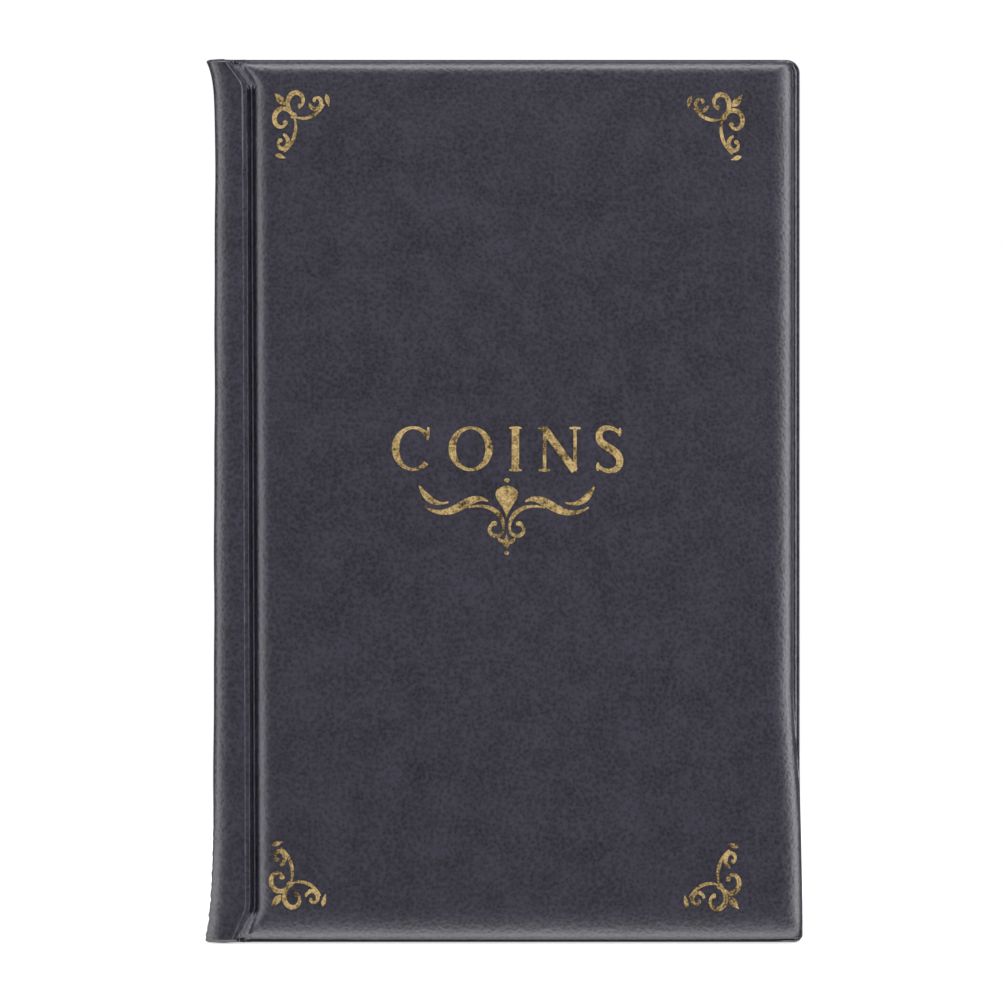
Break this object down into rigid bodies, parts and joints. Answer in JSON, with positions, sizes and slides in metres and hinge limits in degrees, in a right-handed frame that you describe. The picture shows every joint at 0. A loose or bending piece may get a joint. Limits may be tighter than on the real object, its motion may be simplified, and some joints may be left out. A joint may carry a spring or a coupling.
{
  "type": "coin album",
  "caption": "Small padded leatherette album with hinged covers, gold-stamped front and clear pocket leaves bound at the spine, for keeping coins.",
  "frame": {"origin": "centre of the album's box at its tail edge, where it stands", "axes": "+Z from tail to head, +X from spine to fore-edge, +Y from front cover to back cover"},
  "size_m": [0.1414, 0.0208, 0.21],
  "materials": {
    "leatherette": "fine-grained satin leatherette, dark charcoal",
    "foam": "open-cell foam sheet",
    "greyboard": "pressed grey paperboard, matt",
    "lining": "smooth black vinyl with a faint emboss",
    "rivet_metal": "nickel-plated steel",
    "spacer_plastic": "matt black PVC strip",
    "clear_film": "clear soft PVC film",
    "gold_foil": "hot-stamped gold foil, satin"
  },
  "bodies": {
    "spine": {"spine_skin": "leatherette", "spine_board": "greyboard", "front_hinge_board": "greyboard", "back_hinge_board": "greyboard", "spine_lining": "lining", "binding_rivets": "rivet_metal", "rivet_washers": "rivet_metal", "binding_spacers": "spacer_plastic", "leaf_margins": "clear_film", "leaf_hinge_films": "clear_film", "front_hinge_skin": "leatherette", "back_hinge_skin": "leatherette"},
    "front_cover": {"front_cover_skin": "leatherette", "front_cover_foam": "foam", "front_cover_board": "greyboard", "front_cover_lining": "lining", "title_foil": "gold_foil", "flourish_foil": "gold_foil", "corner_foil": "gold_foil"},
    "back_cover": {"back_cover_skin": "leatherette", "back_cover_foam": "foam", "back_cover_board": "greyboard", "back_cover_lining": "lining"},
    "leaf_01": {"leaf_01_sheet": "clear_film", "leaf_01_pockets": "clear_film"},
    "leaf_02": {"leaf_02_sheet": "clear_film", "leaf_02_pockets": "clear_film"},
    "leaf_03": {"leaf_03_sheet": "clear_film", "leaf_03_pockets": "clear_film"},
    "leaf_04": {"leaf_04_sheet": "clear_film", "leaf_04_pockets": "clear_film"},
    "leaf_05": {"leaf_05_sheet": "clear_film", "leaf_05_pockets": "clear_film"},
    "leaf_06": {"leaf_06_sheet": "clear_film", "leaf_06_pockets": "clear_film"},
    "leaf_07": {"leaf_07_sheet": "clear_film", "leaf_07_pockets": "clear_film"},
    "leaf_08": {"leaf_08_sheet": "clear_film", "leaf_08_pockets": "clear_film"},
    "leaf_09": {"leaf_09_sheet": "clear_film", "leaf_09_pockets": "clear_film"},
    "leaf_10": {"leaf_10_sheet": "clear_film", "leaf_10_pockets": "clear_film"}
  },
  "joints": [
    {"name": "front_cover_hinge", "type": "hinge", "parent": "spine", "child": "front_cover", "pos_m": [-0.05955, -0.00995, 0.105], "axis": [0, 0, -1], "range_deg": [0, 180], "deforming": ["front_hinge_skin"]},
    {"name": "back_cover_hinge", "type": "hinge", "parent": "spine", "child": "back_cover", "pos_m": [-0.05955, 0.00995, 0.105], "axis": [0, 0, 1], "range_deg": [0, 180], "deforming": ["back_hinge_skin"]},
    {"name": "leaf_01_hinge", "type": "hinge", "parent": "spine", "child": "leaf_01", "pos_m": [-0.0565, -0.0045, 0.105], "axis": [0, 0, -1], "range_deg": [0, 81], "deforming": ["leaf_hinge_films"]},
    {"name": "leaf_02_hinge", "type": "hinge", "parent": "spine", "child": "leaf_02", "pos_m": [-0.0565, -0.0035, 0.105], "axis": [0, 0, -1], "range_deg": [0, 72.9]},
    {"name": "leaf_03_hinge", "type": "hinge", "parent": "spine", "child": "leaf_03", "pos_m": [-0.0565, -0.0025, 0.105], "axis": [0, 0, -1], "range_deg": [0, 64.8]},
    {"name": "leaf_04_hinge", "type": "hinge", "parent": "spine", "child": "leaf_04", "pos_m": [-0.0565, -0.0015, 0.105], "axis": [0, 0, -1], "range_deg": [0, 56.7]},
    {"name": "leaf_05_hinge", "type": "hinge", "parent": "spine", "child": "leaf_05", "pos_m": [-0.0565, -0.0005, 0.105], "axis": [0, 0, -1], "range_deg": [0, 48.6]},
    {"name": "leaf_06_hinge", "type": "hinge", "parent": "spine", "child": "leaf_06", "pos_m": [-0.0565, 0.0005, 0.105], "axis": [0, 0, -1], "range_deg": [0, 40.5]},
    {"name": "leaf_07_hinge", "type": "hinge", "parent": "spine", "child": "leaf_07", "pos_m": [-0.0565, 0.0015, 0.105], "axis": [0, 0, -1], "range_deg": [0, 32.4]},
    {"name": "leaf_08_hinge", "type": "hinge", "parent": "spine", "child": "leaf_08", "pos_m": [-0.0565, 0.0025, 0.105], "axis": [0, 0, -1], "range_deg": [0, 24.3]},
    {"name": "leaf_09_hinge", "type": "hinge", "parent": "spine", "child": "leaf_09", "pos_m": [-0.0565, 0.0035, 0.105], "axis": [0, 0, -1], "range_deg": [0, 16.2]},
    {"name": "leaf_10_hinge", "type": "hinge", "parent": "spine", "child": "leaf_10", "pos_m": [-0.0565, 0.0045, 0.105], "axis": [0, 0, -1], "range_deg": [0, 8.1]}
  ],
  "couplings": [
    {"joint": "leaf_01_hinge", "follows": "front_cover_hinge", "ratio": 0.45},
    {"joint": "leaf_02_hinge", "follows": "front_cover_hinge", "ratio": 0.405},
    {"joint": "leaf_03_hinge", "follows": "front_cover_hinge", "ratio": 0.36},
    {"joint": "leaf_04_hinge", "follows": "front_cover_hinge", "ratio": 0.315},
    {"joint": "leaf_05_hinge", "follows": "front_cover_hinge", "ratio": 0.27},
    {"joint": "leaf_06_hinge", "follows": "front_cover_hinge", "ratio": 0.225},
    {"joint": "leaf_07_hinge", "follows": "front_cover_hinge", "ratio": 0.18},
    {"joint": "leaf_08_hinge", "follows": "front_cover_hinge", "ratio": 0.135},
    {"joint": "leaf_09_hinge", "follows": "front_cover_hinge", "ratio": 0.09},
    {"joint": "leaf_10_hinge", "follows": "front_cover_hinge", "ratio": 0.045}
  ]
}
